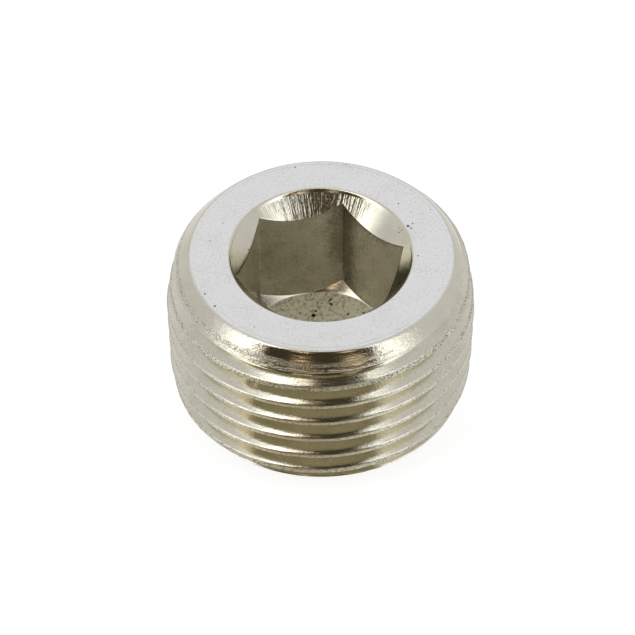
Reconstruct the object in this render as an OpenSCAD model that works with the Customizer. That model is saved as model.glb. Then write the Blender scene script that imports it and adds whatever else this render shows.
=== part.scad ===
// Sealing plug: a short headless pipe plug with a taper thread over its whole length
// and a hexagon socket in its large end. It is turned, threaded and broached from one
// piece of bar, so it is one solid. The large end is up, the small end rests at z = 0.
// Lengths are in millimetres and angles in degrees.

/* [Body] */
// Length of the plug from the small end to the large end
body_h = 10; // [9:0.1:13]
// Diameter of the flat ring at the large end
top_flat_d = 14.2; // [13:0.1:15]
// Angle of the chamfer at the large end, from the axis
top_chamfer_angle = 38; // [30:1:50]
// Height of the chamfer at the large end
top_chamfer_h = 1.17; // [0.6:0.01:1.4]
// Angle of the shoulder that eases the chamfer at the large end into the thread, from the axis
top_shoulder_angle = 8.5; // [7:0.5:20]
// Diameter of the flat at the small end
low_flat_d = 14.06; // [13:0.02:15]
// Angle of the chamfer at the small end, from the axis
low_chamfer_angle = 45; // [30:1:55]
// Height of the chamfer at the small end
low_chamfer_h = 0.91; // [0.5:0.01:1.2]
// Angle of the shoulder above the chamfer at the small end, from the axis
low_shoulder_angle = 11; // [7:0.5:20]

/* [Taper thread] */
// Distance from one crest to the next along the axis, at 19 threads to the inch
pitch = 1.337; // [1.2:0.001:1.9]
// Diameter over the crests at the gauge plane
gauge_d = 16.662; // [16.2:0.001:17.4]
// Height of the gauge plane above the small end
gauge_h = 6.4; // [5:0.1:8]
// Growth of the diameter for each millimetre of height, a taper of 1 in 16
taper = 0.0625; // [0.04:0.0025:0.08]
// Angle between the two flanks of a groove
flank_angle = 55; // [50:1:60]
// Radius of the rounded crests and roots, as a share of the pitch
rounding = 0.1373; // [0.1:0.0001:0.15]
// Height of the first crest above the small end, on the +X side
first_crest_h = 0.55; // [0:0.01:1.3]

/* [Hexagon socket] */
// Distance across the flats of the hexagon
hex_af = 8; // [7:0.1:8.3]
// Turn of the hexagon about the axis, from a corner on the +X side
hex_turn = 14.5; // [0:0.5:59]
// Depth from the large end to the corners of the hexagon's floor
hex_depth = 6.4; // [4.5:0.1:6.6]
// Angle of the floor under the hexagon's corners, from the axis
pocket_angle = 52; // [45:1:65]
// Diameter of the pilot hole whose drilled end is the middle of the floor
pilot_d = 7.8; // [6:0.1:7.9]
// Point angle of the drilled end, from side to side
drill_point_angle = 130; // [118:1:150]
// Diameter of the round mouth of the socket, inside its rounded edge
mouth_d = 9.7; // [9.6:0.02:10.4]
// Radius of the rounded edge round the mouth
rim_round = 0.26; // [0.1:0.02:0.4]
// Depth of the straight wall between the rounded edge and the lead-in cone
mouth_wall_h = 0.02; // [0.02:0.02:0.4]
// Angle of the lead-in cone between the mouth and the flats, from the axis
lead_in_angle = 45; // [40:1:60]

/* [Fineness] */
// Steps that each turn of the thread is divided into
turn_steps = 60; // [36:4:72]
// Straight steps across each rounded crest and root
arc_steps = 3; // [2:1:3]
// Straight steps across the rounded edge of the mouth
rim_steps = 4; // [2:1:6]

/* [Hidden] */

// Length by which a cutting shape passes the face that it opens
overrun = 1;

// Thread form. Its sharp triangle is cut short by the same amount at crest and root.
flank_slope = tan(flank_angle / 2);
round_r = rounding * pitch;
round_half = 90 - flank_angle / 2;
round_u = round_r * sin(round_half);
round_d = round_r * (1 - cos(round_half));
form_depth = (pitch / 2 - 2 * round_u) / flank_slope + 2 * round_d;

// Sizes of the blank
top_flat_r = top_flat_d / 2;
low_flat_r = low_flat_d / 2;
top_edge_r = top_flat_r + top_chamfer_h * tan(top_chamfer_angle);
low_edge_r = low_flat_r + low_chamfer_h * tan(low_chamfer_angle);
top_edge_z = body_h - top_chamfer_h;
top_slope = tan(top_shoulder_angle);
low_slope = tan(low_shoulder_angle);
// Where the two shoulders would meet, clear outside the crests
meet_z = (top_edge_r - low_edge_r + top_edge_z * top_slope + low_chamfer_h * low_slope)
    / (top_slope + low_slope);
meet_r = low_edge_r + (meet_z - low_chamfer_h) * low_slope;

// Sizes of the socket
hex_corner_r = hex_af / sqrt(3);
mouth_r = mouth_d / 2;
pilot_r = pilot_d / 2;
rim_r = mouth_r + rim_round;
cone_top_z = body_h - rim_round - mouth_wall_h;
lead_in_end_r = pilot_r;
lead_in_h = (mouth_r - lead_in_end_r) / tan(lead_in_angle);
hex_floor_z = body_h - hex_depth;
pilot_edge_z = hex_floor_z - (hex_corner_r - pilot_r) / tan(pocket_angle);
drill_tip_z = pilot_edge_z - pilot_r / tan(drill_point_angle / 2);

// Radius over the crests at the height z, which grows towards the large end
function crest_r(z) = gauge_d / 2 + (z - gauge_h) * taper / 2;

// Angles across a rounded crest or root, measured at the centre of its arc
arc_angles = [for (i = [0:arc_steps]) round_half * (2 * i / arc_steps - 1)];

// One pitch of the thread form, from below a crest to above the next root.
// Each corner is [height above the crest, depth below the crest line].
form = concat(
    [for (a = arc_angles) [round_r * sin(a), round_r * (1 - cos(a))]],
    [for (a = arc_angles) [pitch / 2 + round_r * sin(a), form_depth - round_r * (1 - cos(a))]]
);
corners = len(form);

// The thread starts two turns below the first crest and ends above the large end, so
// that both of its open ends lie outside the blank.
thread_z = first_crest_h - 2 * pitch;
pitches = ceil((body_h - thread_z - form[len(form) - 1][0]) / pitch) + 1;
rows = pitches * corners;

// Point of the thread at the step i of a turn and the row j of the form
function thread_point(i, j) =
    let (
        corner = form[j % corners],
        z = thread_z + pitch * (i / turn_steps + floor(j / corners)) + corner[0],
        r = crest_r(z) - corner[1],
        a = 360 * i / turn_steps
    )
    [r * cos(a), r * sin(a), z];

// Place of a thread point in the list. A full turn leads to the same column of points,
// one pitch further up its rows.
function at(i, j) =
    i < turn_steps ? i * rows + j : j + corners;

// Round bar with a right-hand helical thread, open nowhere: the columns of thread points
// are joined side by side, and each end is closed by a fan about a point on the axis.
module threaded_bar() {
    low_tip = turn_steps * rows;
    top_tip = low_tip + 1;
    last = rows - 1;
    points = concat(
        [for (i = [0:turn_steps - 1], j = [0:last]) thread_point(i, j)],
        [[0, 0, thread_z - pitch], [0, 0, thread_z + pitch * (pitches + 1)]]
    );
    function last_row(i) = i < turn_steps - 1 ? last - 1 : last - 1 - corners;
    sides = [
        for (i = [0:turn_steps - 1], j = [0:last_row(i)])
        each [
            [at(i, j), at(i, j + 1), at(i + 1, j)],
            [at(i + 1, j), at(i, j + 1), at(i + 1, j + 1)]
        ]
    ];
    low_end = concat(
        [for (i = [0:turn_steps - 1]) [low_tip, at(i, 0), at(i + 1, 0)]],
        [for (j = [0:corners - 1]) [low_tip, at(0, j + 1), at(0, j)]]
    );
    top_end = concat(
        [for (i = [0:turn_steps - 2]) [top_tip, at(i + 1, last), at(i, last)]],
        [[top_tip, at(0, last), at(turn_steps - 1, last - corners)]],
        [for (j = [last - corners:last - 1])
            [top_tip, at(turn_steps - 1, j), at(turn_steps - 1, j + 1)]]
    );
    polyhedron(points, concat(sides, low_end, top_end), convexity = 12);
}

// Turned blank. Its ends and chamfers cut the thread, and its shoulders trim the first and
// last crests and run out past the others.
module blank() {
    rotate_extrude($fn = turn_steps)
        polygon([
            [0, 0],
            [low_flat_r, 0],
            [low_edge_r, low_chamfer_h],
            [meet_r, meet_z],
            [top_edge_r, top_edge_z],
            [top_flat_r, body_h],
            [0, body_h]
        ]);
}

// Round mouth with a rounded edge, a short straight wall and the lead-in cone
module socket_mouth() {
    cone_low_z = cone_top_z - lead_in_h;
    rim_arc = [
        for (i = [0:rim_steps])
        let (a = 90 * i / rim_steps)
        [rim_r - rim_round * cos(a), body_h - rim_round + rim_round * sin(a)]
    ];
    rotate_extrude($fn = turn_steps)
        polygon(concat(
            [[0, cone_low_z], [lead_in_end_r, cone_low_z], [mouth_r, cone_top_z]],
            rim_arc,
            [[rim_r, body_h + overrun], [0, body_h + overrun]]
        ));
}

// Shape under the hexagon: the cone in its corners and the drilled end in its middle
module socket_floor() {
    outer_r = hex_corner_r + overrun;
    rotate_extrude($fn = turn_steps)
        polygon([
            [0, drill_tip_z],
            [pilot_r, pilot_edge_z],
            [outer_r, hex_floor_z + overrun / tan(pocket_angle)],
            [outer_r, body_h],
            [0, body_h]
        ]);
}

// Broached hexagon, down to the floor
module socket_hexagon() {
    intersection() {
        translate([0, 0, drill_tip_z - overrun])
            rotate([0, 0, hex_turn])
            cylinder(r = hex_corner_r, h = cone_top_z - drill_tip_z + overrun, $fn = 6);
        socket_floor();
    }
}

module plug_body() {
    color("silver")
    difference() {
        intersection() {
            threaded_bar();
            blank();
        }
        union() {
            socket_mouth();
            socket_hexagon();
        }
    }
}

plug_body();
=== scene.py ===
"""Looks of a sealing plug: a short taper pipe plug, turned, threaded, broached and nickel-plated.

The plug's surface is one closed grid of rows and columns. The rows climb the thread, cross the
large end and go down into the socket, and every face belongs to the zone whose tool cut it.
Each zone has its own nickel finish, made from a few shared node groups.
"""
import logging
import math
from dataclasses import dataclass, field
from enum import Enum

import bpy
import numpy as np
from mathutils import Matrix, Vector


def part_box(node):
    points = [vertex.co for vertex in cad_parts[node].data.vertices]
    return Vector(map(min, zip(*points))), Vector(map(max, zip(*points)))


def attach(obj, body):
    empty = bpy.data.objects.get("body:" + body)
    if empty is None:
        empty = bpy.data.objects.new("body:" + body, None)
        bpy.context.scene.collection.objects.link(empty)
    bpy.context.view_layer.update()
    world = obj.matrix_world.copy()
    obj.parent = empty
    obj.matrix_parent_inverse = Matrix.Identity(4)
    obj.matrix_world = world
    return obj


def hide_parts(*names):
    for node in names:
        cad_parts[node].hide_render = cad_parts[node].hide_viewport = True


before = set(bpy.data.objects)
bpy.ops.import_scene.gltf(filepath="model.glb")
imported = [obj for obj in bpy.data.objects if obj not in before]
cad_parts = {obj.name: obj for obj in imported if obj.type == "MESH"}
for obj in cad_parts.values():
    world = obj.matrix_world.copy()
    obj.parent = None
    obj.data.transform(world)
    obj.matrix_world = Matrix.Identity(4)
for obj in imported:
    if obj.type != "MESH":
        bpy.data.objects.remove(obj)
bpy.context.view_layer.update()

MM = 0.001
MICRON = 1e-6
NODE = "plug_body"
BODY = "root"

Colour = tuple[float, float, float]
Feed = bpy.types.NodeSocket | float | tuple[float, ...]
# Axis of the plug, and the places on it in millimetres where an effect starts and is full
Fade = tuple[int, float, float]

log = logging.getLogger("sealing_plug")


class Zone(Enum):
    """Surfaces of the plug, by the tool that cut them. The value is the material's index."""

    SMALL_END = 0
    THREAD = 1
    CHAMFER = 2
    LARGE_END = 3
    LIP = 4
    MOUTH = 5
    FLATS = 6
    POCKETS = 7
    DRILLED_END = 8


class Grooves(Enum):
    """Direction in which a tool left its fine grooves."""

    ROUND_THE_AXIS = "round the axis"
    ALONG_THE_PROFILE = "along the profile"


def smooth_min(first: np.ndarray, second: np.ndarray, width: float) -> np.ndarray:
    """Smaller of two surfaces, with the edge between them rounded.

    Formula: the minimum less the square of h times a quarter of the width, where h falls from 1
    where the two surfaces meet to 0 where they lie the width apart.

    Args:
        first: Radii of the first surface.
        second: Radii of the second surface.
        width: Difference of radius over which the edge is rounded.

    Returns:
        Radii of the joined surface.
    """
    h = np.clip(width - np.abs(first - second), 0, None) / width
    return np.minimum(first, second) - h * h * width / 4


def wavy(angle: np.ndarray, height: np.ndarray, waves: int, reach: float, seed: int) -> np.ndarray:
    """Smooth random unevenness that closes on itself round the axis.

    Formula: the sum of cosines, each with a whole number of waves round the axis, a random
    number of waves for each millimetre of height and a random phase.

    Args:
        angle: Angles round the axis.
        height: Heights in millimetres.
        waves: Most waves round the axis.
        reach: Length of the shortest wave along the height, in millimetres.
        seed: Seed of the random numbers.

    Returns:
        Values that are mostly from -1 to 1.
    """
    terms = 24
    chance = np.random.default_rng(seed)
    turns = chance.integers(waves // 3, waves + 1, terms)
    climbs = chance.uniform(-1, 1, terms) * 2 * math.pi / reach
    phases = chance.uniform(0, 2 * math.pi, terms)
    total = np.zeros(np.broadcast(angle, height).shape)
    for turn, climb, phase in zip(turns, climbs, phases):
        total = total + np.cos(turn * angle + climb * height + phase)
    return total / math.sqrt(terms)


@dataclass(frozen=True)
class Nick:
    """One small blow on the thread, at an angle from +X in degrees and a height in millimetres."""

    angle: float
    height: float
    tall: float
    wide: float
    deep: float

    def dent(self, angle: np.ndarray, height: np.ndarray, radius: float) -> np.ndarray:
        """Depth of the dent: a bell curve over its height and its width.

        Args:
            angle: Angles round the axis.
            height: Heights in millimetres.
            radius: Radius that turns an angle into a length.

        Returns:
            Depth in millimetres at each place.
        """
        away = (angle - math.radians(self.angle) + math.pi) % (2 * math.pi) - math.pi
        return self.deep * np.exp(
            -((away * radius / self.wide) ** 2) - ((height - self.height) / self.tall) ** 2
        )


@dataclass(frozen=True)
class TaperThread:
    """Right-hand taper pipe thread with rounded roots and narrow flat crests, in millimetres.

    The groove above the last full crest lies a little lower at the front. The drop sets in over
    the onset, in pitches below that crest, and is whole where the gain takes the front share to 1.
    """

    pitch: float = 1.337
    gauge_r: float = 8.331
    gauge_h: float = 6.4
    taper: float = 0.0625
    flank_angle: float = 55.0
    rounding: float = 0.1373
    first_crest_h: float = 0.55
    crest_edge: float = 0.025
    last_crest: float = 5.0
    last_groove_drop: float = 0.12
    drop_onset: float = 0.12
    front_gain: float = 1.5

    def crest_radius(self, height: np.ndarray) -> np.ndarray:
        """Radius over the crests, which grows with the height."""
        return self.gauge_r + (height - self.gauge_h) * self.taper / 2

    def depth(self, turns: np.ndarray) -> np.ndarray:
        """Depth below the crest line.

        Formula: with w the distance along the axis from the nearest crest, the depth is 0 on the
        flat crest, then follows a straight flank, then a circle near the root. The flanks lie as
        they would beside crests as round as the roots.

        Args:
            turns: Distance along the axis from a crest, in pitches.

        Returns:
            Depth in millimetres.
        """
        half = math.radians(self.flank_angle / 2)
        arc_r = self.rounding * self.pitch
        arc_w = arc_r * math.cos(half)
        arc_d = arc_r * (1 - math.sin(half))
        w = np.abs((turns + 0.5) % 1.0 - 0.5) * self.pitch
        to_root = self.pitch / 2 - w
        full = (self.pitch / 2 - 2 * arc_w) / math.tan(half) + 2 * arc_d
        flank = arc_d + (w - arc_w) / math.tan(half)
        root = full - arc_r + np.sqrt(np.clip(arc_r**2 - to_root**2, 0, None))
        return -smooth_min(-np.where(to_root < arc_w, root, flank), np.zeros_like(w), self.crest_edge)

    def turns(self, angle: np.ndarray, height: np.ndarray) -> np.ndarray:
        """Distance above the first crest in pitches: the height's share less the angle's.

        Formula: above the last full crest, the tool was pressed a little down at the front, so
        the distance grows there by the drop times the part of the direction that points to it.

        Args:
            angle: Angles round the axis, within the one turn that starts at the grid's seam.
            height: Heights above the small end.

        Returns:
            Distance in pitches.
        """
        turns = (height - self.first_crest_h) / self.pitch - angle / (2 * math.pi)
        share = np.clip((turns - self.last_crest) / self.drop_onset + 1, 0, 1)
        front = np.clip(-np.sin(angle) * self.front_gain, 0, 1)
        return turns + self.last_groove_drop / self.pitch * share * front


@dataclass(frozen=True)
class Blank:
    """Turned blank that trims the thread: two ends, two chamfers and two shoulders.

    The ring at the large end has a rounded edge and a fine groove, given by its distance from
    the edge, its half width and its depth.
    """

    height: float
    top_flat_r: float = 7.13
    top_chamfer_h: float = 1.17
    top_chamfer_angle: float = 38.0
    top_shoulder_angle: float = 8.5
    low_flat_r: float = 7.03
    low_chamfer_h: float = 0.91
    low_chamfer_angle: float = 45.0
    low_shoulder_angle: float = 11.0
    crown: float = 0.04
    ring_shift: float = 0.06
    ring_towards: float = -40.0
    shoulder_r: float = 8.014
    shoulder_shift: float = 0.13
    edge_rounding: float = 0.16
    groove_inset: float = 0.27
    groove_half: float = 0.05
    groove_depth: float = 0.010

    def ring_radius(self, angle: np.ndarray) -> np.ndarray:
        """Outer radius of the ring at the large end, which was turned a little off the axis."""
        return self.top_flat_r + self.ring_shift * np.cos(angle - math.radians(self.ring_towards))

    def chamfer_radius(self, height: np.ndarray | float, angle: np.ndarray) -> np.ndarray:
        """Radius of the two chamfers.

        Formula: a straight line from each end, the smaller of the two. The upper line has a
        crown: its height times 1 less the square of the distance from the chamfer's middle, which
        is 1 at both of its edges.

        Args:
            height: Heights above the small end.
            angle: Angles round the axis.

        Returns:
            Radii.
        """
        below = self.height - height
        from_top = below * math.tan(math.radians(self.top_chamfer_angle))
        half = self.top_chamfer_h / 2
        crown = self.crown * np.clip(1 - ((below - half) / half) ** 2, 0, None)
        from_low = height * math.tan(math.radians(self.low_chamfer_angle))
        return np.minimum(self.ring_radius(angle) + from_top + crown, self.low_flat_r + from_low)

    def shoulder_radius(self, height: np.ndarray, angle: np.ndarray) -> np.ndarray:
        """Radius of the two shoulders, which carry on from the chamfers at a small slope.

        Formula: a straight line from the edge of each chamfer. The upper shoulder was turned a
        little off the axis, so its radius grows by the shift times the part of the direction that
        points to the front.

        Args:
            height: Heights above the small end.
            angle: Angles round the axis.

        Returns:
            Radii.
        """
        top_edge_h = self.height - self.top_chamfer_h
        from_top = (top_edge_h - height) * math.tan(math.radians(self.top_shoulder_angle))
        from_low = (height - self.low_chamfer_h) * math.tan(math.radians(self.low_shoulder_angle))
        return np.minimum(
            self.shoulder_r + from_top - self.shoulder_shift * np.sin(angle),
            self.chamfer_radius(self.low_chamfer_h, angle) + from_low,
        )


@dataclass(frozen=True)
class HexSocket:
    """Broached hexagon behind a round mouth, over a drilled end. Depths are from the large end.

    The broach went in a little off the axis, so the hexagon has a middle of its own. The lip is
    the radius and the depth where the worn rim ends and the wall of the mouth starts, and the
    overhang brings both in at the front.
    """

    across_flats: float = 8.04
    turn: float = 14.5
    middle: tuple[float, float] = (-0.05, -0.13)
    rim_r: float = 5.04
    lip: tuple[float, float] = (4.945, 0.045)
    front_overhang: float = 0.03
    mouth_r: float = 4.86
    mouth_depth: float = 0.165
    lead_in_angle: float = 42.2
    corner_depth: float = 6.4
    pocket_angle: float = 52.0
    pilot_r: float = 3.9
    point_angle: float = 130.0

    def flats(self) -> tuple[np.ndarray, np.ndarray]:
        """Directions and places of the six flats.

        Returns:
            Angle of the middle of each flat, and the flat's distance from the plug's axis.
        """
        normals = math.radians(self.turn) + (np.arange(6) - 0.5) * math.pi / 3
        x, y = self.middle
        return normals, self.across_flats / 2 + x * np.cos(normals) + y * np.sin(normals)

    def corners(self) -> np.ndarray:
        """Places of the corners round the plug's axis.

        Returns:
            Angle of each corner, in order and with no jump, and of the first one a turn later.
        """
        at = math.radians(self.turn) + np.arange(7) * math.pi / 3
        reach = self.across_flats / math.sqrt(3)
        x, y = self.middle
        return np.unwrap(np.arctan2(y + reach * np.sin(at), x + reach * np.cos(at)))

    def flat_radius(self, angle: np.ndarray) -> np.ndarray:
        """Radius of the hexagon.

        Formula: for each flat that faces the direction, its distance from the axis over the
        cosine of the angle between them. The nearest one counts.

        Args:
            angle: Angles round the axis.

        Returns:
            Radii.
        """
        least = 0.2
        normals, distances = self.flats()
        cosine = np.cos(np.asarray(angle)[..., None] - normals)
        reach = np.where(cosine > least, distances / np.clip(cosine, least, None), np.inf)
        return np.min(reach, axis=-1)

    def lead_in_depth(self, radius: np.ndarray) -> np.ndarray:
        """Depth of the lead-in cone at a radius."""
        return self.mouth_depth + (self.mouth_r - radius) / math.tan(math.radians(self.lead_in_angle))

    def floor_depth(self, radius: np.ndarray | float) -> np.ndarray:
        """Depth of the floor: the pockets' cone outside the pilot hole, and its drilled end inside.

        Formula: the depth at the pilot hole's edge, plus the way inwards over the tangent of half
        the drill's point angle, less the way outwards over the tangent of the pockets' angle.

        Args:
            radius: Radii.

        Returns:
            Depths from the large end.
        """
        pocket = math.tan(math.radians(self.pocket_angle))
        drill = math.tan(math.radians(self.point_angle / 2))
        pilot_depth = self.corner_depth + (self.across_flats / math.sqrt(3) - self.pilot_r) / pocket
        inside = np.clip(self.pilot_r - radius, 0, None) / drill
        return pilot_depth + inside - np.clip(radius - self.pilot_r, 0, None) / pocket

    def crowded(self, angle: np.ndarray, power: float) -> np.ndarray:
        """Angles drawn towards the nearest corner of the hexagon, so that its edges are crisp.

        Formula: between two corners, the share of the way to the middle raised to a power.

        Args:
            angle: Even angles, of which one in each sixth of a turn is at the hexagon's turn.
            power: 1 leaves them even, and more draws them to the corners.

        Returns:
            Uneven angles, of which one lies on each corner.
        """
        tolerance = 1e-9
        sector = (angle - math.radians(self.turn)) / (math.pi / 3)
        index = np.floor(sector + tolerance).astype(int)
        share = np.clip(sector - index, 0, 1)
        near = np.minimum(share, 1 - share)
        drawn = 0.5 * (2 * near) ** power
        share = np.where(share > 0.5, 1 - drawn, drawn)
        corners = self.corners()
        turns, index = index // 6 * 2 * math.pi, index % 6
        return turns + corners[index] + (corners[index + 1] - corners[index]) * share


@dataclass(frozen=True)
class Corner:
    """A corner of the profile: its radius and height for each column, its rounding, and the
    steps and the zone of the stretch that leads to the next corner."""

    radius: np.ndarray
    height: np.ndarray
    rounding: float
    steps: int
    zone: Zone


@dataclass
class Band:
    """Rows of the plug's grid, in order: radius, height and angle of each point, the zone of the
    faces above each row, and two shares that the finishes read."""

    radius: np.ndarray
    height: np.ndarray
    angle: np.ndarray
    zone: np.ndarray
    skin: np.ndarray
    groove: np.ndarray


def rounded_profile(corners: list[Corner], angle: np.ndarray, steps: int) -> Band:
    """Rows that run through the corners, with each inner corner rounded.

    Formula: a corner is replaced by a parabola that starts and ends its rounding away from it,
    but never further than just under half of the stretch on either side. Stretches are straight.

    Args:
        corners: Corners in order. The first and the last stay sharp.
        angle: Angle of each column.
        steps: Steps across each rounded corner.

    Returns:
        The rows, with no skin and no groove.
    """
    most = 0.49
    places = np.array([[c.radius, c.height] for c in corners])
    t = np.linspace(0, 1, steps + 1)[:, None, None]
    rows = [places[:1]]
    zones: list[Zone] = []
    last = places[0]
    for index in range(1, len(corners) - 1):
        corner, place = corners[index], places[index]
        back, ahead = places[index - 1] - place, places[index + 1] - place
        back_length, ahead_length = np.hypot(*back), np.hypot(*ahead)
        start = place + back / back_length * np.minimum(corner.rounding, most * back_length)
        end = place + ahead / ahead_length * np.minimum(corner.rounding, most * ahead_length)
        share = np.linspace(0, 1, corners[index - 1].steps + 1)[1:-1, None, None]
        rows.append(last + (start - last) * share)
        rows.append((1 - t) ** 2 * start + 2 * t * (1 - t) * place + t**2 * end)
        zones += [corners[index - 1].zone] * (corners[index - 1].steps + steps // 2)
        zones += [corner.zone] * (steps - steps // 2)
        last = end
    share = np.linspace(0, 1, corners[-2].steps + 1)[1:, None, None]
    rows.append(last + (places[-1] - last) * share)
    zones += [corners[-2].zone] * corners[-2].steps
    radius, height = np.moveaxis(np.concatenate(rows), 1, 0)
    zone = np.array([z.value for z in zones] + [corners[-1].zone.value])
    return Band(
        radius,
        height,
        np.broadcast_to(angle, radius.shape),
        np.broadcast_to(zone[:, None], radius.shape),
        np.zeros(radius.shape),
        np.zeros(radius.shape),
    )


@dataclass
class PlugBody:
    """The whole plug: thread, blank, socket and wear, worked out on one closed grid.

    The skin fields say how deep a shoulder must trim a crest before its skin is full, how strong
    the skin is on the other crests, and down to which depth below the crest line it reaches. The
    hub and the tip are the radii where the fans at the two ends start, and the clearance keeps
    the drilled end inside the flats.
    """

    height: float
    thread: TaperThread = field(default_factory=TaperThread)
    socket: HexSocket = field(default_factory=HexSocket)
    columns: int = 240
    rows_per_pitch: int = 40
    thread_low: float = 0.2
    thread_high: float = 9.45
    run_out_rounding: float = 0.03
    corner_steps: int = 4
    corner_crowding: float = 1.6
    crest_waviness: float = 0.004
    skin_unevenness: float = 0.010
    skin_trim: float = 0.05
    crest_skin: float = 0.7
    crest_skin_depth: float = 0.03
    hub_r: float = 0.3
    tip_r: float = 0.15
    pilot_clearance: float = 0.03
    nicks: tuple[Nick, ...] = (
        Nick(angle=-26, height=8.05, tall=0.10, wide=0.22, deep=0.10),
        Nick(angle=-158, height=7.0, tall=0.09, wide=0.12, deep=0.06),
        Nick(angle=-163, height=6.3, tall=0.10, wide=0.12, deep=0.05),
        Nick(angle=-133, height=7.6, tall=0.10, wide=0.15, deep=0.06),
        Nick(angle=-118, height=7.2, tall=0.07, wide=0.14, deep=0.05),
    )

    def small_end(self, angle: np.ndarray) -> Band:
        """Rows from the middle of the small end to where the thread's rows start.

        Args:
            angle: Angle of each column.

        Returns:
            The rows.
        """
        blank, full = Blank(self.height), np.ones(self.columns)
        edge_r = blank.chamfer_radius(self.thread_low, angle)
        # Radius, height, rounding, and the steps and the zone up to the next corner
        corners = [
            Corner(self.hub_r * full, 0 * full, 0, 7, Zone.SMALL_END),
            Corner(blank.low_flat_r * full, 0 * full, 0.05, 2, Zone.CHAMFER),
            Corner(edge_r, self.thread_low * full, 0, 0, Zone.CHAMFER),
        ]
        return rounded_profile(corners, angle, self.corner_steps)

    def threaded_side(self, angle: np.ndarray) -> Band:
        """Rows of even height over the thread, cut by the blank, with the wear on them.

        Formula: the smaller of three radii, those of the uneven thread, of the shoulders with
        their rough skin and of the chamfers, less the depth of the nicks.

        Args:
            angle: Angle of each column.

        Returns:
            The rows. Skin is 1 where the shoulder trims a crest and less on the other crests,
            and groove is 0 on the crest line and 1 at the root.
        """
        blank = Blank(self.height)
        count = round((self.thread_high - self.thread_low) / self.thread.pitch * self.rows_per_pitch)
        height = np.linspace(self.thread_low, self.thread_high, count + 1)[:, None]
        height, angle = np.broadcast_arrays(height, angle)
        depth = self.thread.depth(self.thread.turns(angle, height))
        cut = self.thread.crest_radius(height) - depth
        cut = cut + self.crest_waviness * wavy(angle, height, waves=48, reach=0.9, seed=3)
        chamfer = blank.chamfer_radius(height, angle)
        shoulder = blank.shoulder_radius(height, angle)
        skin = np.clip((cut - shoulder) / self.skin_trim + 1, 0, 1) * (shoulder < chamfer)
        on_crest = np.clip(1 - depth / self.crest_skin_depth, 0, 1)
        skin = np.maximum(skin, self.crest_skin * on_crest)
        rough = shoulder + self.skin_unevenness * wavy(angle, height, waves=110, reach=0.12, seed=5)
        radius = smooth_min(cut, rough, self.run_out_rounding)
        radius = smooth_min(radius, chamfer, self.run_out_rounding)
        for nick in self.nicks:
            radius = radius - nick.dent(angle, height, self.thread.gauge_r)
        zone = np.where(np.minimum(cut, shoulder) > chamfer, Zone.CHAMFER.value, Zone.THREAD.value)
        return Band(radius, height, angle, zone, skin, depth / depth.max())

    def large_end(self, angle: np.ndarray) -> Band:
        """Rows from the upper chamfer over the flat ring and down the socket to its tip.

        The columns start even and are drawn to the hexagon's corners while they cross the ring.

        Args:
            angle: Angle of each column where the rows start.

        Returns:
            The rows.
        """
        blank, s, full = Blank(self.height), self.socket, np.ones(self.columns)
        drawn = s.crowded(angle, self.corner_crowding)
        start_r, ring_r = blank.chamfer_radius(self.thread_high, angle), blank.ring_radius(angle)
        flat_r = s.flat_radius(drawn)
        pilot_r = np.minimum(s.pilot_r, flat_r - self.pilot_clearance)
        overhang = s.front_overhang * np.clip(-np.sin(drawn), 0, 1)
        groove_r, half, groove = ring_r - blank.groove_inset, blank.groove_half, blank.groove_depth
        top, tip_r = self.height, self.tip_r
        # Radius, height, rounding, and the steps and the zone up to the next corner
        corners = [
            Corner(start_r, self.thread_high * full, 0, 3, Zone.CHAMFER),
            Corner(ring_r, top * full, blank.edge_rounding, 1, Zone.LARGE_END),
            Corner(groove_r + half, top * full, 0.03, 1, Zone.LARGE_END),
            Corner(groove_r, (top - groove) * full, 0.03, 1, Zone.LARGE_END),
            Corner(groove_r - half, top * full, 0.03, 9, Zone.LARGE_END),
            Corner(s.rim_r - overhang, top * full, 0.05, 1, Zone.LIP),
            Corner(s.lip[0] - overhang, (top - s.lip[1]) * full, 0.06, 1, Zone.LIP),
            Corner(s.mouth_r * full, (top - s.mouth_depth) * full, 0.02, 9, Zone.MOUTH),
            Corner(flat_r, top - s.lead_in_depth(flat_r), 0.06, 14, Zone.FLATS),
            Corner(flat_r, top - s.floor_depth(flat_r), 0.04, 4, Zone.POCKETS),
            Corner(pilot_r, top - s.floor_depth(pilot_r), 0.14, 12, Zone.DRILLED_END),
            Corner(tip_r * full, (top - s.floor_depth(tip_r)) * full, 0, 0, Zone.DRILLED_END),
        ]
        band = rounded_profile(corners, drawn, self.corner_steps)
        inwards = (groove_r.min() - band.radius[:, :1]) / (groove_r.min() - s.rim_r)
        band.angle = angle + (drawn - angle) * np.clip(inwards, 0, 1)
        return band

    def rows(self) -> Band:
        """Rows of the whole plug, with the three stretches joined where they share a row.

        Returns:
            The rows, from the small end up the side and down to the socket's tip.
        """
        angle = math.radians(self.socket.turn) + np.arange(self.columns) * 2 * math.pi / self.columns
        low, side, top = self.small_end(angle), self.threaded_side(angle), self.large_end(angle)
        shared = {
            name: np.concatenate([getattr(low, name)[:-1], getattr(side, name), getattr(top, name)[1:]])
            for name in ("radius", "height", "angle", "skin", "groove")
        }
        return Band(zone=np.concatenate([low.zone[:-1], side.zone[:-1], top.zone[:-1]]), **shared)

    def points(self, rows: Band) -> np.ndarray:
        """Points of the grid, and after them the middle of the small end and the socket's tip.

        Formula: a point is its radius times the cosine and the sine of its angle, and its height.

        Args:
            rows: Rows of the whole plug.

        Returns:
            Points in metres.
        """
        x, y = rows.radius * np.cos(rows.angle), rows.radius * np.sin(rows.angle)
        grid = np.stack([x, y, rows.height], axis=-1).reshape(-1, 3)
        slope = math.tan(math.radians(self.socket.point_angle / 2))
        tip_h = rows.height[-1, 0] - rows.radius[-1, 0] / slope
        return np.concatenate([grid, [[0, 0, 0], [0, 0, tip_h]]]) * MM

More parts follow.
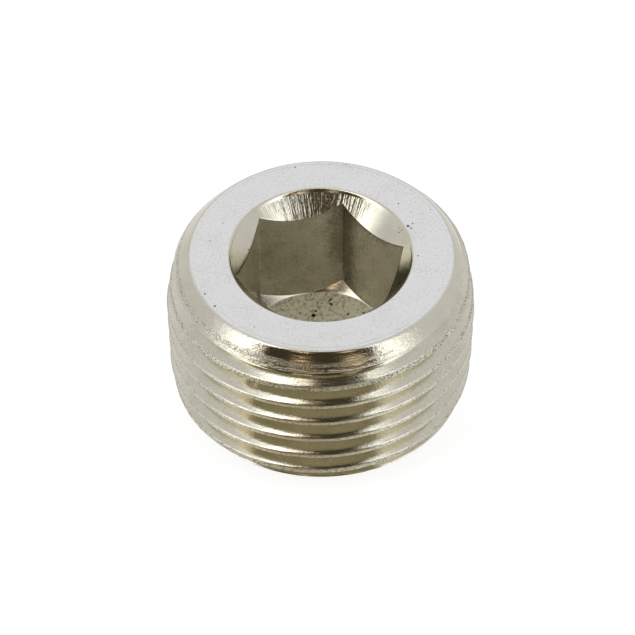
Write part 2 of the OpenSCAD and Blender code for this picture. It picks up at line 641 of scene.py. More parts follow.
    def faces(self, count: int) -> list[list[int]]:
        """Faces of the closed grid, which point outwards.

        Formula: a band of four-sided faces between each two rows, and a fan at each end.

        Args:
            count: Number of rows.

        Returns:
            Numbers of each face's points.
        """
        low_pole = count * self.columns
        grid = np.arange(low_pole).reshape(count, self.columns)
        beside = np.roll(grid, -1, axis=1)
        quads = np.stack([grid[:-1], beside[:-1], beside[1:], grid[1:]], axis=-1).reshape(-1, 4)
        low_fan = np.stack([np.full(self.columns, low_pole), beside[0], grid[0]], axis=-1)
        top_fan = np.stack([np.full(self.columns, low_pole + 1), grid[-1], beside[-1]], axis=-1)
        return quads.tolist() + low_fan.tolist() + top_fan.tolist()

    def build(self) -> bpy.types.Object:
        """Make the plug: one closed mesh, with the zone of each face and the two shares.

        Returns:
            The plug's object, at the origin.
        """
        rows = self.rows()
        mesh = bpy.data.meshes.new("sealing_plug")
        mesh.from_pydata(self.points(rows).tolist(), [], self.faces(len(rows.radius)))
        fans = np.repeat([Zone.SMALL_END.value, Zone.DRILLED_END.value], self.columns)
        index = np.append(rows.zone.ravel(), fans)
        mesh.polygons.foreach_set("material_index", index.astype(np.int32))
        mesh.polygons.foreach_set("use_smooth", np.ones(len(index), bool))
        for name in ("skin", "groove"):
            values = np.append(getattr(rows, name).ravel(), [0, 0]).astype(np.float32)
            mesh.attributes.new(name, "FLOAT", "POINT").data.foreach_set("value", values)
        mesh.update()
        plug = bpy.data.objects.new("sealing_plug", mesh)
        bpy.context.scene.collection.objects.link(plug)
        return plug

    def dress(self, plug: bpy.types.Object, finishes: dict[Zone, "NickelFinish"]) -> None:
        """Give each zone its finish, hang the piece on its body, and hide the CAD node that it takes the
        place of.

        Args:
            plug: The object that build made.
            finishes: Finish of every zone.
        """
        for zone in Zone:
            plug.data.materials.append(finishes[zone].material())
        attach(plug, BODY)
        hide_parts(NODE)


class Bench:
    """Adds nodes to one tree, so that a recipe reads as a list of steps."""

    def __init__(self, tree: bpy.types.NodeTree) -> None:
        """Start with an empty tree."""
        self.tree = tree
        tree.nodes.clear()

    def add(
        self, kind: str, feeds: dict[str | int, Feed] | None = None, **settings: object
    ) -> bpy.types.Node:
        """Add a node.

        Args:
            kind: Type of the node.
            feeds: What goes into its inputs: an output, or a value of the input's own.
            settings: Properties of the node.

        Returns:
            The node.
        """
        node = self.tree.nodes.new(kind)
        for name, value in settings.items():
            setattr(node, name, value)
        for name, value in (feeds or {}).items():
            if isinstance(value, bpy.types.NodeSocket):
                self.tree.links.new(value, node.inputs[name])
            else:
                node.inputs[name].default_value = value
        return node

    def maths(self, operation: str, *values: Feed) -> bpy.types.NodeSocket:
        """Result of one sum, product or other operation on numbers."""
        return self.add("ShaderNodeMath", dict(enumerate(values)), operation=operation).outputs[0]

    def step(self, value: Feed, low: float, high: float) -> bpy.types.NodeSocket:
        """Smooth step of a value from 0 at low to 1 at high. Low may be above high."""
        feeds = {"Value": value, "From Min": low, "From Max": high}
        return self.add("ShaderNodeMapRange", feeds, interpolation_type="SMOOTHSTEP").outputs["Result"]

    def mix(self, share: Feed, first: Feed, second: Feed) -> bpy.types.NodeSocket:
        """Blend of two colours, from the first at 0 to the second at 1."""
        node = self.add("ShaderNodeMix", {0: share, 6: first, 7: second}, data_type="RGBA")
        return node.outputs[2]

    def group(self, tree: bpy.types.NodeTree, feeds: dict[str, Feed]) -> bpy.types.NodeSocket:
        """Output of a shared group that is placed here with its own values."""
        return self.add("ShaderNodeGroup", feeds, node_tree=tree).outputs[0]

    def put_out(self, value: bpy.types.NodeSocket) -> bpy.types.NodeTree:
        """Tree of the group on this bench, with its one output fed."""
        self.add("NodeGroupOutput", {0: value})
        return self.tree


def start_group(
    name: str, inputs: dict[str, Feed], output: str, kind: str = "NodeSocketFloat"
) -> tuple[Bench, dict[str, bpy.types.NodeSocket]]:
    """Make a shader node group with one output, which is fed later.

    Args:
        name: Name of the group.
        inputs: Named inputs and their first values.
        output: Name of the output.
        kind: Socket type of the output.

    Returns:
        The bench of the group, and its inputs by name.
    """
    tree = bpy.data.node_groups.new(name, "ShaderNodeTree")
    bench = Bench(tree)
    for label, value in inputs.items():
        held = "NodeSocketColor" if isinstance(value, tuple) else "NodeSocketFloat"
        tree.interface.new_socket(label, in_out="INPUT", socket_type=held).default_value = value
    tree.interface.new_socket(output, in_out="OUTPUT", socket_type=kind)
    given = bench.add("NodeGroupInput")
    return bench, {s.name: s for s in given.outputs if s.name}


class NickelGroups:
    """Node groups that the nickel finishes share. Lengths inside them are millimetres."""

    def __init__(self) -> None:
        """Build each group once."""
        self.grooves = self.build_grooves()
        self.grain = self.build_grain()
        self.pits = self.build_pits()
        self.lone_pit = self.build_lone_pit()
        self.tone = self.build_tone()

    @staticmethod
    def millimetres(bench: Bench) -> bpy.types.NodeSocket:
        """Place on the plug in millimetres.

        Args:
            bench: Bench of the tree that needs the place.

        Returns:
            The place, from the Object coordinates.
        """
        place = bench.add("ShaderNodeTexCoord").outputs["Object"]
        feeds = {0: place, 3: 1 / MM}
        return bench.add("ShaderNodeVectorMath", feeds, operation="SCALE").outputs[0]

    def build_grooves(self) -> bpy.types.NodeTree:
        """Fine grooves of a turning or broaching tool.

        Formula: noise read at the direction from the axis, times the waves around, and at the
        distance along the profile, times the waves across.

        Returns:
            The group, whose Height is from about -0.5 to 0.5.
        """
        inputs = {"Radius Share": 1.0, "Height Share": 0.0, "Around": 20.0, "Across": 15.0}
        bench, given = start_group("tool_grooves", inputs, "Height")
        apart = bench.add("ShaderNodeSeparateXYZ", {0: self.millimetres(bench)}).outputs
        squares = [bench.maths("MULTIPLY", apart[i], apart[i]) for i in (0, 1)]
        radius = bench.maths("SQRT", bench.maths("ADD", *squares))
        safe = bench.maths("MAXIMUM", radius, 0.01)
        along = bench.maths(
            "ADD",
            bench.maths("MULTIPLY", radius, given["Radius Share"]),
            bench.maths("MULTIPLY", apart[2], given["Height Share"]),
        )
        directions = [bench.maths("DIVIDE", apart[i], safe) for i in (0, 1)]
        turned = [bench.maths("MULTIPLY", direction, given["Around"]) for direction in directions]
        climbed = bench.maths("MULTIPLY", along, given["Across"])
        feeds = {0: turned[0], 1: turned[1], 2: climbed}
        where = bench.add("ShaderNodeCombineXYZ", feeds).outputs[0]
        feeds = {"Vector": where, "Scale": 1.0, "Detail": 3.0, "Roughness": 0.6}
        noise = bench.add("ShaderNodeTexNoise", feeds)
        return bench.put_out(bench.maths("SUBTRACT", noise.outputs[0], 0.5))

    def build_grain(self) -> bpy.types.NodeTree:
        """Fine even grain: noise of one size.

        Returns:
            The group, whose Height is from about -0.5 to 0.5.
        """
        bench, given = start_group("plating_grain", {"Size": 0.1}, "Height")
        feeds = {
            "Vector": self.millimetres(bench),
            "Scale": bench.maths("DIVIDE", 1.0, given["Size"]),
            "Detail": 3.0,
            "Roughness": 0.65,
        }
        noise = bench.add("ShaderNodeTexNoise", feeds)
        return bench.put_out(bench.maths("SUBTRACT", noise.outputs[0], 0.5))

    def build_pits(self) -> bpy.types.NodeTree:
        """Small ragged pits.

        Formula: noise moves each place a little, and the share picks some cells of a Voronoi
        pattern. In those the mask rises from the pit's edge towards the cell's point, and random
        numbers give each pit a size and a depth between a least part and the whole.

        Returns:
            The group, whose Mask is up to 1 in a pit.
        """
        stir_scale = 14.0
        stir_reach = 0.06
        least = 0.4
        inputs = {"Spacing": 0.4, "Size": 0.05, "Share": 0.2}
        bench, given = start_group("small_pits", inputs, "Mask")
        place = self.millimetres(bench)
        feeds = {"Vector": place, "Scale": stir_scale, "Detail": 1.0}
        stir = bench.add("ShaderNodeTexNoise", feeds).outputs["Color"]
        shift = bench.add("ShaderNodeVectorMath", {0: stir, 3: stir_reach}, operation="SCALE").outputs[0]
        where = bench.add("ShaderNodeVectorMath", {0: place, 1: shift}, operation="ADD").outputs[0]
        feeds = {"Vector": where, "Scale": bench.maths("DIVIDE", 1.0, given["Spacing"])}
        cells = bench.add("ShaderNodeTexVoronoi", feeds)
        draws = bench.add("ShaderNodeSeparateXYZ", {0: cells.outputs["Color"]}).outputs
        chosen = bench.maths("LESS_THAN", draws[0], given["Share"])
        size = bench.maths("MULTIPLY", given["Size"], bench.maths("ADD", draws[1], least))
        away = bench.maths("MULTIPLY", cells.outputs["Distance"], given["Spacing"])
        closeness = bench.maths("SUBTRACT", 1.0, bench.maths("DIVIDE", away, size))
        depth = bench.maths("MULTIPLY_ADD", draws[2], 1 - least, least)
        whole = bench.maths("MULTIPLY", chosen, depth)
        return bench.put_out(bench.maths("MULTIPLY", whole, bench.step(closeness, 0.0, 0.5)))

    def build_lone_pit(self) -> bpy.types.NodeTree:
        """One ragged pit at a place.

        Formula: the distance from the pit's middle, times noise that is about 1, over the size.
        The mask falls from 1 at half of the size to 0 at the whole.

        Returns:
            The group, whose Mask is 1 in the pit.
        """
        raggedness = 2.4
        least = -0.2
        inputs = {"X": 0.0, "Y": 0.0, "Z": 0.0, "Size": 0.05}
        bench, given = start_group("lone_pit", inputs, "Mask")
        place = self.millimetres(bench)
        feeds = {0: given["X"], 1: given["Y"], 2: given["Z"]}
        feeds = {0: place, 1: bench.add("ShaderNodeCombineXYZ", feeds).outputs[0]}
        away = bench.add("ShaderNodeVectorMath", feeds, operation="DISTANCE").outputs["Value"]
        feeds = {"Vector": place, "Scale": 16.0, "Detail": 2.0}
        ragged = bench.add("ShaderNodeTexNoise", feeds).outputs[0]
        away = bench.maths("MULTIPLY", away, bench.maths("MULTIPLY_ADD", ragged, raggedness, least))
        return bench.put_out(bench.step(bench.maths("DIVIDE", away, given["Size"]), 1.0, 0.5))

    def build_tone(self) -> bpy.types.NodeTree:
        """Colour of the plating.

        Formula: nickel goes over to its shade colour by the sum of three shares, of soft patches,
        of the grain and of the painted shade given, and the pits lie over both in their own colour.

        Returns:
            The group, whose Color feeds the base colour.
        """
        patch_size = 1.5
        patch_share = 0.35
        inputs = {
            "Nickel": (0.7, 0.7, 0.7, 1.0),
            "Shade": (0.6, 0.6, 0.6, 1.0),
            "Pit Colour": (0.1, 0.1, 0.1, 1.0),
            "Grain": 0.0,
            "Grain Share": 1.0,
            "Painted Shade": 0.0,
            "Pits": 0.0,
        }
        bench, given = start_group("plating_tone", inputs, "Color", kind="NodeSocketColor")
        feeds = {
            "Vector": self.millimetres(bench),
            "Scale": 1 / patch_size,
            "Detail": 4.0,
            "Roughness": 0.6,
        }
        patches = bench.step(bench.add("ShaderNodeTexNoise", feeds).outputs[0], 0.35, 0.7)
        share = bench.maths("MULTIPLY", patches, patch_share)
        share = bench.maths("ADD", share, bench.maths("MULTIPLY", given["Grain"], given["Grain Share"]))
        share = bench.maths("MAXIMUM", 0.0, bench.maths("ADD", share, given["Painted Shade"]))
        toned = bench.mix(bench.maths("MINIMUM", share, 1.0), given["Nickel"], given["Shade"])
        return bench.put_out(bench.mix(given["Pits"], toned, given["Pit Colour"]))


@dataclass(frozen=True)
class ToolMarks:
    """Deep marks of a tool, which show where all of their fades are full. The frequencies are
    waves for each millimetre, and the depth is in micrometres."""

    grooves: Grooves
    fades: tuple[Fade, ...]
    fine: float
    coarse: float
    depth: float


@dataclass(frozen=True)
class LonePit:
    """A single pit, at a place on the plug in millimetres."""

    place: tuple[float, float, float]
    size: float


@dataclass(frozen=True)
class NickelFinish:
    """How nickel looks where one tool cut the brass under it. Lengths are millimetres, depths are
    micrometres, and frequencies are waves for each millimetre.

    The profile gives how much the radius and the height change along each millimetre of the cut,
    and the reach is the radius that turns waves for each millimetre into waves round the axis.
    The skin and the groove are shares that the mesh holds for each point.
    """

    name: str
    groups: NickelGroups
    profile: tuple[float, float]
    reach: float
    colour: Colour = (0.72, 0.685, 0.56)
    shade: Colour = (0.56, 0.525, 0.40)
    pit_colour: Colour = (0.10, 0.085, 0.05)
    roughness: float = 0.2
    roughness_spread: float = 0.1
    grooves: Grooves = Grooves.ROUND_THE_AXIS
    fine: float = 9.0
    coarse: float = 0.5
    groove_depth: float = 6.0
    grain_size: float = 0.09
    grain_depth: float = 4.0
    grain_tone: float = 0.8
    pit_spacing: float = 0.45
    pit_size: float = 0.045
    pit_share: float = 0.06
    pit_depth: float = 12.0
    skin_grain: float = 0.0
    speckle: float = 0.8
    speckle_grain: tuple[float, float] = (-0.02, 0.12)
    worn_roughness: float = 0.25
    # Painted shade: share by which the colour darkens towards the thread's roots
    painted_root_shade: float = 0.0
    # Painted shade: fades whose product takes the colour over to the shade colour
    painted_shade_fades: tuple[Fade, ...] = ()
    marks: tuple[ToolMarks, ...] = ()
    lone_pits: tuple[LonePit, ...] = ()

    def groove_height(
        self, bench: Bench, grooves: Grooves, fine: float, coarse: float
    ) -> bpy.types.NodeSocket:
        """Height of grooves in their direction.

        Args:
            bench: Bench of the material.
            grooves: Direction of the grooves.
            fine: Frequency across the grooves.
            coarse: Frequency along them.

        Returns:
            The height, from about -0.5 to 0.5.
        """
        round_axis = grooves is Grooves.ROUND_THE_AXIS
        around, across = (coarse, fine) if round_axis else (fine, coarse)
        feeds = {
            "Radius Share": self.profile[0],
            "Height Share": self.profile[1],
            "Around": around * self.reach,
            "Across": across,
        }
        return bench.group(self.groups.grooves, feeds)

    def shown(self, bench: Bench, fades: tuple[Fade, ...]) -> bpy.types.NodeSocket:
        """Product of fades, each a smooth step along its axis.

        Args:
            bench: Bench of the material.
            fades: The fades.

        Returns:
            The product, which is 1 where all of them are full.
        """
        place = bench.add("ShaderNodeSeparateXYZ", {0: self.groups.millimetres(bench)}).outputs
        share: Feed = 1.0
        for axis, none_at, full_at in fades:
            share = bench.maths("MULTIPLY", share, bench.step(place[axis], none_at, full_at))
        return share

    def mark_height(self, bench: Bench, mark: ToolMarks) -> bpy.types.NodeSocket:
        """Height of one kind of deep tool marks.

        Args:
            bench: Bench of the material.
            mark: The marks.

        Returns:
            The height in micrometres.
        """
        height = self.groove_height(bench, mark.grooves, mark.fine, mark.coarse)
        height = bench.maths("MULTIPLY", height, self.shown(bench, mark.fades))
        return bench.maths("MULTIPLY", height, mark.depth)

    def all_pits(self, bench: Bench) -> bpy.types.NodeSocket:
        """Mask of the random pits and of the single ones.

        Args:
            bench: Bench of the material.

        Returns:
            The mask, which is up to 1 in a pit.
        """
        feeds = {"Spacing": self.pit_spacing, "Size": self.pit_size, "Share": self.pit_share}
        mask = bench.group(self.groups.pits, feeds)
        for pit in self.lone_pits:
            x, y, z = pit.place
            lone = bench.group(self.groups.lone_pit, {"X": x, "Y": y, "Z": z, "Size": pit.size})
            mask = bench.maths("MAXIMUM", mask, lone)
        return mask

    def material(self) -> bpy.types.Material:
        """Material of this finish: toned nickel, with grooves, grain and pits as bump.

        Returns:
            The material.
        """
        made = bpy.data.materials.new(self.name)
        made.use_nodes = True
        bench = Bench(made.node_tree)
        groove = self.groove_height(bench, self.grooves, self.fine, self.coarse)
        grain = bench.group(self.groups.grain, {"Size": self.grain_size})
        pits = self.all_pits(bench)
        skin = bench.add("ShaderNodeAttribute", attribute_name="skin").outputs["Fac"]
        root = bench.add("ShaderNodeAttribute", attribute_name="groove").outputs["Fac"]
        # Painted shade: darker towards the thread's roots, and where the painted shade fades are full
        painted_shade = bench.maths("MULTIPLY", root, self.painted_root_shade)
        if self.painted_shade_fades:
            painted_shade = bench.maths("ADD", painted_shade, self.shown(bench, self.painted_shade_fades))
        speckles = bench.maths("MULTIPLY", bench.step(grain, *self.speckle_grain), skin)
        pits = bench.maths("MAXIMUM", pits, bench.maths("MULTIPLY", speckles, self.speckle))
        height = bench.maths("MULTIPLY", groove, self.groove_depth)
        for mark in self.marks:
            height = bench.maths("ADD", height, self.mark_height(bench, mark))
        grain_depth = bench.maths("MULTIPLY_ADD", skin, self.skin_grain, self.grain_depth)
        height = bench.maths("ADD", height, bench.maths("MULTIPLY", grain, grain_depth))
        height = bench.maths("SUBTRACT", height, bench.maths("MULTIPLY", pits, self.pit_depth))
        bump = bench.add("ShaderNodeBump", {"Height": height, "Distance": MICRON, "Strength": 1.0})
        colour = bench.group(
            self.groups.tone,
            {
                "Nickel": (*self.colour, 1.0),
                "Shade": (*self.shade, 1.0),
                "Pit Colour": (*self.pit_colour, 1.0),
                "Grain": grain,
                "Grain Share": self.grain_tone,
                "Painted Shade": painted_shade,
                "Pits": pits,
            },
        )
        rough = bench.maths("MULTIPLY_ADD", grain, self.roughness_spread, self.roughness)
        worn = bench.maths("MAXIMUM", pits, skin)
        rough = bench.maths("MULTIPLY_ADD", worn, self.worn_roughness, rough)
        shader = bench.add(
            "ShaderNodeBsdfPrincipled",
            {"Base Color": colour, "Metallic": 1.0, "Roughness": rough, "Normal": bump.outputs[0]},
        )
        bench.add("ShaderNodeOutputMaterial", {"Surface": shader.outputs[0]})
        return made


MOUTH_PITS = (
    LonePit((4.28, 2.26, 9.72), 0.07),
    LonePit((4.30, 2.02, 9.62), 0.09),
    LonePit((4.42, 2.04, 9.75), 0.08),
    LonePit((3.56, 2.51, 9.23), 0.04),
    LonePit((3.21, 3.50, 9.62), 0.05),
    LonePit((-3.90, 1.31, 8.99), 0.06),
    LonePit((-4.80, 0.06, 9.70), 0.07),
    LonePit((-4.56, 0.33, 9.44), 0.05),
)
RING_PITS = (
    LonePit((4.57, 2.02, 9.95), 0.08),
    LonePit((4.72, 2.14, 10.0), 0.09),
    LonePit((4.96, 2.32, 10.0), 0.05),
    LonePit((4.88, 1.98, 10.0), 0.05),
    LonePit((4.21, 3.84, 10.0), 0.05),
    LonePit((-6.20, -2.92, 10.0), 0.06),
    LonePit((-5.65, -3.83, 10.0), 0.07),
    LonePit((3.94, -3.35, 9.98), 0.04),
)
FLOOR_PITS = (
    LonePit((-0.39, 2.63, 2.44), 0.13),
    LonePit((-0.26, 2.88, 2.55), 0.07),
    LonePit((1.50, 2.60, 2.60), 0.08),
    LonePit((0.51, 3.45, 2.83), 0.07),
    LonePit((0.57, 3.21, 2.72), 0.09),
    LonePit((-1.14, 2.70, 2.57), 0.06),
    LonePit((0.07, 3.30, 2.74), 0.05),
)
SIDE_PITS = (
    LonePit((8.00, -2.05, 6.56), 0.12),
    LonePit((-6.61, -4.15, 9.10), 0.07),
    LonePit((-7.15, -4.23, 8.33), 0.08),
    LonePit((-4.83, -6.68, 8.53), 0.07),
    LonePit((-6.28, -5.43, 8.20), 0.06),
    LonePit((-3.71, -7.43, 8.25), 0.08),
)


def nickel_finishes() -> dict[Zone, NickelFinish]:
    """Finishes of the plug, on the node groups that they share.

    Returns:
        The finish of every zone.
    """
    groups = NickelGroups()
    return {
        Zone.SMALL_END: NickelFinish("turned_small_end", groups, (1, 0), 5.0, roughness=0.3),
        Zone.THREAD: NickelFinish(
            "cut_thread",
            groups,
            profile=(1, -0.03),
            reach=8.0,
            roughness=0.11,
            roughness_spread=0.08,
            groove_depth=4.0,
            grain_size=0.11,
            grain_depth=4.0,
            grain_tone=2.2,
            skin_grain=30.0,
            # painted shade in the thread's roots
            painted_root_shade=0.3,
            lone_pits=SIDE_PITS,
        ),
        Zone.CHAMFER: NickelFinish(
            "turned_chamfer",
            groups,
            profile=(0.6, -0.8),
            reach=7.5,
            roughness=0.07,
            roughness_spread=0.06,
            groove_depth=5.0,
            grain_depth=5.0,
            marks=(
                ToolMarks(Grooves.ROUND_THE_AXIS, ((2, 9.35, 9.2), (1, -4.5, -6.5)), 7.0, 0.5, depth=110.0),
                *(
                    ToolMarks(Grooves.ROUND_THE_AXIS, ((0, side * 2.4, side * 3.4),), 9.0, 3.5, depth=22.0)
                    for side in (1, -1)
                ),
            ),
            lone_pits=SIDE_PITS,
        ),
        Zone.LARGE_END: NickelFinish(
            "faced_ring",
            groups,
            profile=(1, 0),
            reach=6.0,
            colour=(0.74, 0.715, 0.635),
            shade=(0.60, 0.58, 0.50),
            roughness=0.3,
            groove_depth=4.0,
            grain_size=0.13,
            grain_depth=12.0,
            grain_tone=3.6,
            pit_spacing=0.35,
            pit_share=0.12,
            lone_pits=RING_PITS,
        ),
        Zone.LIP: NickelFinish("worn_lip", groups, (0.7, 0.7), 5.0, roughness=0.14, lone_pits=MOUTH_PITS),
        Zone.MOUTH: NickelFinish(
            "lead_in_cone",
            groups,
            profile=(0.7, 0.7),
            reach=4.5,
            roughness=0.16,
            grooves=Grooves.ALONG_THE_PROFILE,
            groove_depth=3.0,
            marks=(
                ToolMarks(Grooves.ALONG_THE_PROFILE, ((1, 3.0, 4.3),), 4.0, 0.3, depth=50.0),
                ToolMarks(Grooves.ALONG_THE_PROFILE, ((1, 3.4, 4.3),), 9.0, 1.0, depth=35.0),
            ),
            lone_pits=MOUTH_PITS,
        ),
        Zone.FLATS: NickelFinish(
            "broached_flats",
            groups,
            profile=(0, 1),
            reach=4.3,
            colour=(0.90, 0.88, 0.82),
            shade=(0.36, 0.345, 0.28),
            roughness=0.15,
            roughness_spread=0.2,
            grooves=Grooves.ALONG_THE_PROFILE,
            grain_size=0.17,
            grain_depth=20.0,
            grain_tone=1.5,
            # painted shade: a dark upright strip where the back flat meets the right one, fading out
            # towards the floor
            painted_shade_fades=((0, -0.1, 1.2), (0, 2.15, 1.4), (1, 1.5, 3.5), (2, 2.0, 6.5)),
            pit_share=0.15,
        ),
        Zone.POCKETS: NickelFinish("broached_pockets", groups, (1, 0), 4.0, roughness=0.17),
        Zone.DRILLED_END: NickelFinish(
            "drilled_floor",
            groups,
            profile=(1, 0),
            reach=3.0,
            colour=(0.82, 0.77, 0.58),
            shade=(0.40, 0.36, 0.23),
            roughness=0.62,
            groove_depth=12.0,
            grain_size=0.2,
            grain_depth=30.0,
            grain_tone=4.0,
            # painted shade: the drilled floor darker towards the front, under the socket's front wall
            painted_shade_fades=((1, 2.6, -1.5),),
            pit_colour=(0.03, 0.025, 0.015),
            pit_spacing=0.26,
            pit_size=0.075,
            pit_share=0.4,
            lone_pits=FLOOR_PITS,
        ),
    }


@dataclass(frozen=True)
class Opening:
    """Dark opening at the front of the studio, a wedge that narrows towards the zenith.

    Each side is a plane through the plug, given by the direction that points out of the wedge.
    A fringe of warm light lies along the left side. The opening has one colour above the horizon
    and a lighter one below it.
    """

    left: tuple[float, float, float] = (-0.617, 0.783, 0.080)
    right: tuple[float, float, float] = (0.748, 0.662, -0.045)
    softness: float = 0.015
    above: Colour = (0.050, 0.042, 0.028)
    below: Colour = (0.31, 0.285, 0.22)
    fringe: Colour = (1.7, 1.35, 0.95)
    fringe_width: float = 0.06


@dataclass(frozen=True)
class Lamp:
    """Small warm lamp in the dark opening: its middle and its half width and half height, in
    degrees from the front and above the horizon."""

    azimuth: float
    elevation: float
    wide: float
    tall: float
    colour: Colour


@dataclass(frozen=True)
class Panel:
    """Upright light panel. Its light rises over the azimuths from its dim edge to its full edge,
    in degrees from the front, and stays full up to the opening."""

    dim: float
    full: float
    colour: Colour


@dataclass
class Studio:
    """Plain pale studio: a floor, soft light from all sides but the front, and the camera.

    The pairs say between which parts of a direction a light grows from none to full: the back
    glow towards the back and upwards, the panels over their foot, the paper's light downwards
    and the opening's upper colour over the horizon.
    """

    distance: float = 0.330
    look_down: float = 46.573
    target: Vector = field(default_factory=lambda: Vector((-0.175, 0.0, 5.0675)) * MM)
    pixels_per_mm: float = 18.399
    frame_pixels: float = 635.0
    sensor: float = 36.0
    floor_size: float = 4.0
    floor_colour: Colour = (0.3, 0.3, 0.3)
    floor_glow: float = 0.84
    opening: Opening = field(default_factory=Opening)
    lamps: tuple[Lamp, ...] = (
        Lamp(-15, 28, 8, 3.5, (2.4, 1.8, 1.1)),
        Lamp(24, 28, 12, 4, (2.3, 1.8, 1.2)),
        Lamp(-19, 53, 8, 5, (3.0, 2.3, 1.7)),
        Lamp(23, 50, 8, 5, (2.4, 1.85, 1.35)),
    )
    walls: Colour = (0.70, 0.71, 0.745)
    panels: tuple[Panel, ...] = (Panel(-88, -54, (1.5, 1.55, 1.6)), Panel(77, 48, (1.15, 1.2, 1.25)))
    under_panels: float = 0.25
    panel_foot: tuple[float, float] = (-0.08, 0.08)
    back_glow: Colour = (0.44, 0.47, 0.64)
    glow_back: tuple[float, float] = (0.3, 0.9)
    glow_up: tuple[float, float] = (0.2, 0.7)
    paper: Colour = (0.19, 0.18, 0.14)
    paper_down: tuple[float, float] = (-0.1, -0.6)
    horizon: tuple[float, float] = (-0.05, 0.05)

    def camera(self) -> None:
        """Create the camera: it looks along +Y and down, from the photograph's distance."""
        made = bpy.data.cameras.new("camera")
        made.sensor_width = self.sensor
        made.lens = self.sensor * self.pixels_per_mm * self.distance / MM / self.frame_pixels
        made.clip_start = 0.01
        holder = bpy.data.objects.new("camera", made)
        tilt = math.radians(self.look_down)
        ahead = Vector((0, math.cos(tilt), -math.sin(tilt)))
        holder.location = self.target - ahead * self.distance
        holder.rotation_euler = (math.pi / 2 - tilt, 0, 0)
        bpy.context.scene.collection.objects.link(holder)
        bpy.context.scene.camera = holder

    def floor(self) -> None:
        """Lay a pale floor at the height that the plug stands on. The metal doesn't mirror it:
        the world's lower half stands for the lit paper there."""
        half = self.floor_size / 2
        mesh = bpy.data.meshes.new("floor")
        corners = [(-half, -half, 0), (half, -half, 0), (half, half, 0), (-half, half, 0)]
        mesh.from_pydata(corners, [], [(0, 1, 2, 3)])
        paper = bpy.data.materials.new("pale_floor")
        paper.use_nodes = True
        bench = Bench(paper.node_tree)
        shader = bench.add(
            "ShaderNodeBsdfPrincipled",
            {
                "Base Color": (*self.floor_colour, 1.0),
                "Roughness": 1.0,
                "Specular IOR Level": 0.0,
                "Emission Color": (1.0, 1.0, 1.0, 1.0),
                "Emission Strength": self.floor_glow,
            },
        )
        bench.add("ShaderNodeOutputMaterial", {"Surface": shader.outputs[0]})
        mesh.materials.append(paper)
        floor = bpy.data.objects.new("floor", mesh)
        floor.visible_glossy = False
        bpy.context.scene.collection.objects.link(floor)

    def light(self) -> None:
        """Fill the world with soft light, brightest at both sides of the dark opening.

        Formula: the light is that of the walls, plus a cool glow that grows towards the back and
        upwards, plus the light of the paper from below, plus each panel's along its azimuths,
        which is weaker below the horizon. The opening's colour takes over where a direction lies
        inside both of its sides, with the lamps and the paper's light in it, and a warm fringe
        lies along its left side. Seen straight from the camera, the world is plain white.
        """
        world = bpy.data.worlds.new("studio")
        world.use_nodes = True
        bench = Bench(world.node_tree)
        towards = bench.add("ShaderNodeTexCoord").outputs["Generated"]
        x, y, z = bench.add("ShaderNodeSeparateXYZ", {0: towards}).outputs
        azimuth = bench.maths("ARCTAN2", x, bench.maths("MULTIPLY", y, -1.0))
        glow = bench.maths("MULTIPLY", bench.step(y, *self.glow_back), bench.step(z, *self.glow_up))
        above_foot = bench.step(z, *self.panel_foot)
        raised = bench.maths("MULTIPLY_ADD", above_foot, 1 - self.under_panels, self.under_panels)
        paper = bench.step(z, *self.paper_down)
        lights = [(self.back_glow, glow), (self.paper, paper)]
        for panel in self.panels:
            share = self.panel_share(bench, azimuth, panel)
            lights.append((panel.colour, bench.maths("MULTIPLY", share, raised)))
        colour = self.lit(bench, self.walls, lights)
        hole = self.opening
        beyond = [self.along(bench, towards, side) for side in (hole.left, hole.right)]
        outside = [bench.step(away, -hole.softness, hole.softness) for away in beyond]
        past_fringe = bench.maths("MAXIMUM", bench.step(beyond[0], 0.0, hole.fringe_width), outside[1])
        colour = bench.mix(past_fringe, (*hole.fringe, 1.0), colour)
        dark = bench.mix(bench.step(z, *self.horizon), (*hole.below, 1.0), (*hole.above, 1.0))
        spots = [(lamp.colour, self.lamp_share(bench, azimuth, z, lamp)) for lamp in self.lamps]
        spots.append((self.paper, paper))
        colour = bench.mix(bench.maths("MAXIMUM", *outside), self.lit(bench, dark, spots), colour)
        seen = bench.add("ShaderNodeLightPath").outputs["Is Camera Ray"]
        colour = bench.mix(seen, colour, (1.0, 1.0, 1.0, 1.0))
        back = bench.add("ShaderNodeBackground", {"Color": colour, "Strength": 1.0})
        bench.add("ShaderNodeOutputWorld", {"Surface": back.outputs[0]})
        bpy.context.scene.world = world
        bpy.context.scene.view_settings.view_transform = "Standard"

    @staticmethod
    def along(bench: Bench, towards: Feed, side: tuple[float, float, float]) -> bpy.types.NodeSocket:
        """Part of a direction that points to a side."""
        node = bench.add("ShaderNodeVectorMath", {0: towards, 1: side}, operation="DOT_PRODUCT")
        return node.outputs["Value"]

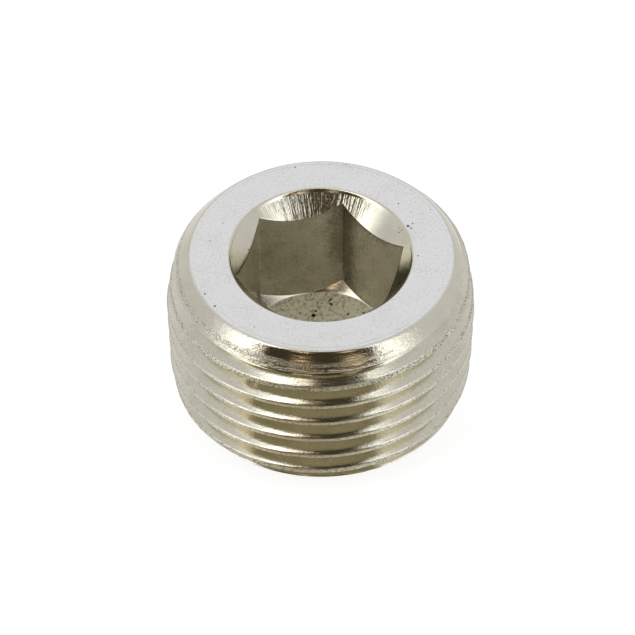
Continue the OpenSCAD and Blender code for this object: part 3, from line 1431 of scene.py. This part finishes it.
    @staticmethod
    def lit(bench: Bench, colour: Feed, lights: list[tuple[Colour, Feed]]) -> Feed:
        """Colour with lights added to it.

        Args:
            bench: Bench of the world.
            colour: The colour without them.
            lights: Colour and share of each light.

        Returns:
            The colour with them.
        """
        for light, share in lights:
            added = bench.add("ShaderNodeVectorMath", {0: light, 3: share}, operation="SCALE").outputs[0]
            colour = bench.add("ShaderNodeVectorMath", {0: colour, 1: added}, operation="ADD").outputs[0]
        return colour

    @staticmethod
    def lamp_share(
        bench: Bench, azimuth: bpy.types.NodeSocket, rise: bpy.types.NodeSocket, lamp: Lamp
    ) -> bpy.types.NodeSocket:
        """Share of a lamp's light in a direction.

        Args:
            bench: Bench of the world.
            azimuth: Azimuth of the direction, in radians from the front.
            rise: Sine of its elevation.
            lamp: The lamp.

        Returns:
            The share: 1 at the lamp's middle, 0 from its half width and its half height on.
        """
        aside = bench.maths("ABSOLUTE", bench.maths("SUBTRACT", azimuth, math.radians(lamp.azimuth)))
        middle = math.sin(math.radians(lamp.elevation))
        off = bench.maths("ABSOLUTE", bench.maths("SUBTRACT", rise, middle))
        return bench.maths(
            "MULTIPLY",
            bench.step(aside, math.radians(lamp.wide), 0.0),
            bench.step(off, math.sin(math.radians(lamp.tall)), 0.0),
        )

    @staticmethod
    def panel_share(bench: Bench, azimuth: bpy.types.NodeSocket, panel: Panel) -> bpy.types.NodeSocket:
        """Share of a panel's light at an azimuth, which is 0 on the other side of the front.

        Args:
            bench: Bench of the world.
            azimuth: Azimuth of the direction, in radians from the front.
            panel: The panel.

        Returns:
            The share.
        """
        front_edge = math.copysign(20.0, panel.full)
        rising = bench.step(azimuth, math.radians(panel.dim), math.radians(panel.full))
        own_side = bench.step(azimuth, 0.0, math.radians(front_edge))
        return bench.maths("MULTIPLY", rising, own_side)


def main() -> None:
    """Build the plug and its studio, and report each piece."""
    logging.basicConfig(level=logging.INFO, format="%(message)s")
    low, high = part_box(NODE)
    body = PlugBody(height=(high.z - low.z) / MM)
    plug = body.build()
    body.dress(plug, nickel_finishes())
    triangles = sum(len(face.vertices) - 2 for face in plug.data.polygons)
    log.info("%s: %d triangles, %.3f mm tall", plug.name, triangles, plug.dimensions.z / MM)
    studio = Studio()
    studio.floor()
    studio.light()
    studio.camera()
    log.info("studio: floor, light and camera")
    bpy.context.view_layer.update()


if __name__ == "__main__":
    main()
